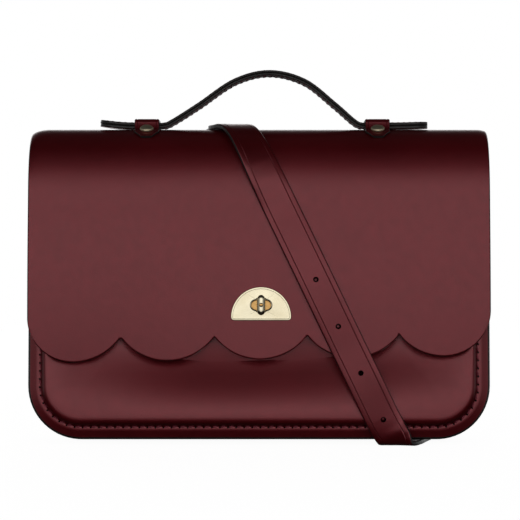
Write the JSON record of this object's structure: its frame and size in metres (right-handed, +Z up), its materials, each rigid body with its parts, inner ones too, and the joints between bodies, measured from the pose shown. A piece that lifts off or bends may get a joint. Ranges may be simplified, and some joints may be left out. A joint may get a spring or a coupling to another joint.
{
  "type": "satchel bag",
  "caption": "Structured leather satchel with a scalloped front flap, half-moon turn lock, arched top handle and an adjustable shoulder strap draped across it.",
  "frame": {"origin": "middle of the bag at the level of the surface it stands on", "axes": "+X to the right as seen from the front, -Y out of the flap's front, +Z up"},
  "size_m": [0.332, 0.1081, 0.2679],
  "materials": {
    "bag_leather": "smooth semi-gloss oxblood leather with a fine grain and dark painted edges",
    "strap_leather": "smooth semi-gloss oxblood strap leather with creased borders and dark painted edges",
    "pocket_suede": "matt suede-side leather",
    "pale_gold": "polished pale gold plating",
    "washer_steel": "plain nickel plating"
  },
  "bodies": {
    "bag_body": {"back_panel": "bag_leather", "front_panel": "bag_leather", "gusset": "bag_leather", "inner_pocket": "pocket_suede", "lock_base": "pale_gold", "lock_back_washer": "washer_steel", "ring_tab_left": "strap_leather", "ring_tab_right": "strap_leather", "ring_tab_rivet_left": "pale_gold", "ring_tab_rivet_right": "pale_gold", "strap_long": "strap_leather", "strap_rivet_long": "pale_gold", "strap_short": "strap_leather", "strap_rivet_short": "pale_gold", "buckle_frame": "pale_gold", "keeper_fixed": "strap_leather"},
    "flap_body": {"flap": "bag_leather", "lock_plate": "pale_gold", "lock_plate_backing": "washer_steel", "handle_loop_left": "strap_leather", "handle_loop_right": "strap_leather", "loop_rivet_left_front": "pale_gold", "loop_rivet_left_back": "pale_gold", "loop_rivet_right_front": "pale_gold", "loop_rivet_right_back": "pale_gold", "handle_arch_outer": "strap_leather", "handle_arch_lining": "strap_leather"},
    "handle_left": {"handle_end_left": "strap_leather"},
    "handle_right": {"handle_end_right": "strap_leather"},
    "knob": {"lock_knob": "pale_gold"},
    "ring_left": {"strap_ring_left": "pale_gold"},
    "ring_right": {"strap_ring_right": "pale_gold"},
    "prong": {"buckle_prong": "pale_gold"},
    "loose_keeper": {"keeper_sliding": "strap_leather"}
  },
  "joints": [
    {"name": "flap_hinge", "type": "hinge", "parent": "bag_body", "child": "flap_body", "pos_m": [0, 0.0283, 0.2022], "axis": [-1, 0, 0], "range_deg": [0, 110], "deforming": ["strap_long"]},
    {"name": "lock_turn", "type": "hinge", "parent": "bag_body", "child": "knob", "pos_m": [0.0015, -0.04523, 0.1007], "axis": [0, -0.9994, 0.0358], "range_deg": [0, 90]},
    {"name": "handle_left_slide", "type": "slide", "parent": "flap_body", "child": "handle_left", "axis": [-1, 0, 0], "range_m": [0, 0.008], "deforming": ["handle_arch_outer", "handle_arch_lining"]},
    {"name": "handle_right_slide", "type": "slide", "parent": "flap_body", "child": "handle_right", "axis": [1, 0, 0], "range_m": [0, 0.008]},
    {"name": "ring_left_swing", "type": "hinge", "parent": "bag_body", "child": "ring_left", "pos_m": [-0.125, 0.03752, 0.17236], "axis": [1, 0, 0], "range_deg": [0, 40], "deforming": ["strap_long"]},
    {"name": "ring_right_swing", "type": "hinge", "parent": "bag_body", "child": "ring_right", "pos_m": [0.125, 0.03752, 0.17236], "axis": [1, 0, 0], "range_deg": [0, 40], "deforming": ["strap_short"]},
    {"name": "prong_hinge", "type": "hinge", "parent": "bag_body", "child": "prong", "pos_m": [0.125, 0.04204, 0.08747], "axis": [1, 0, 0], "range_deg": [0, 15], "deforming": ["strap_long"]},
    {"name": "keeper_slide", "type": "slide", "parent": "bag_body", "child": "loose_keeper", "axis": [0, -0.0555, 0.9985], "range_m": [-0.006, 0.005]}
  ],
  "couplings": [
    {"joint": "handle_right_slide", "follows": "handle_left_slide", "ratio": 1}
  ]
}
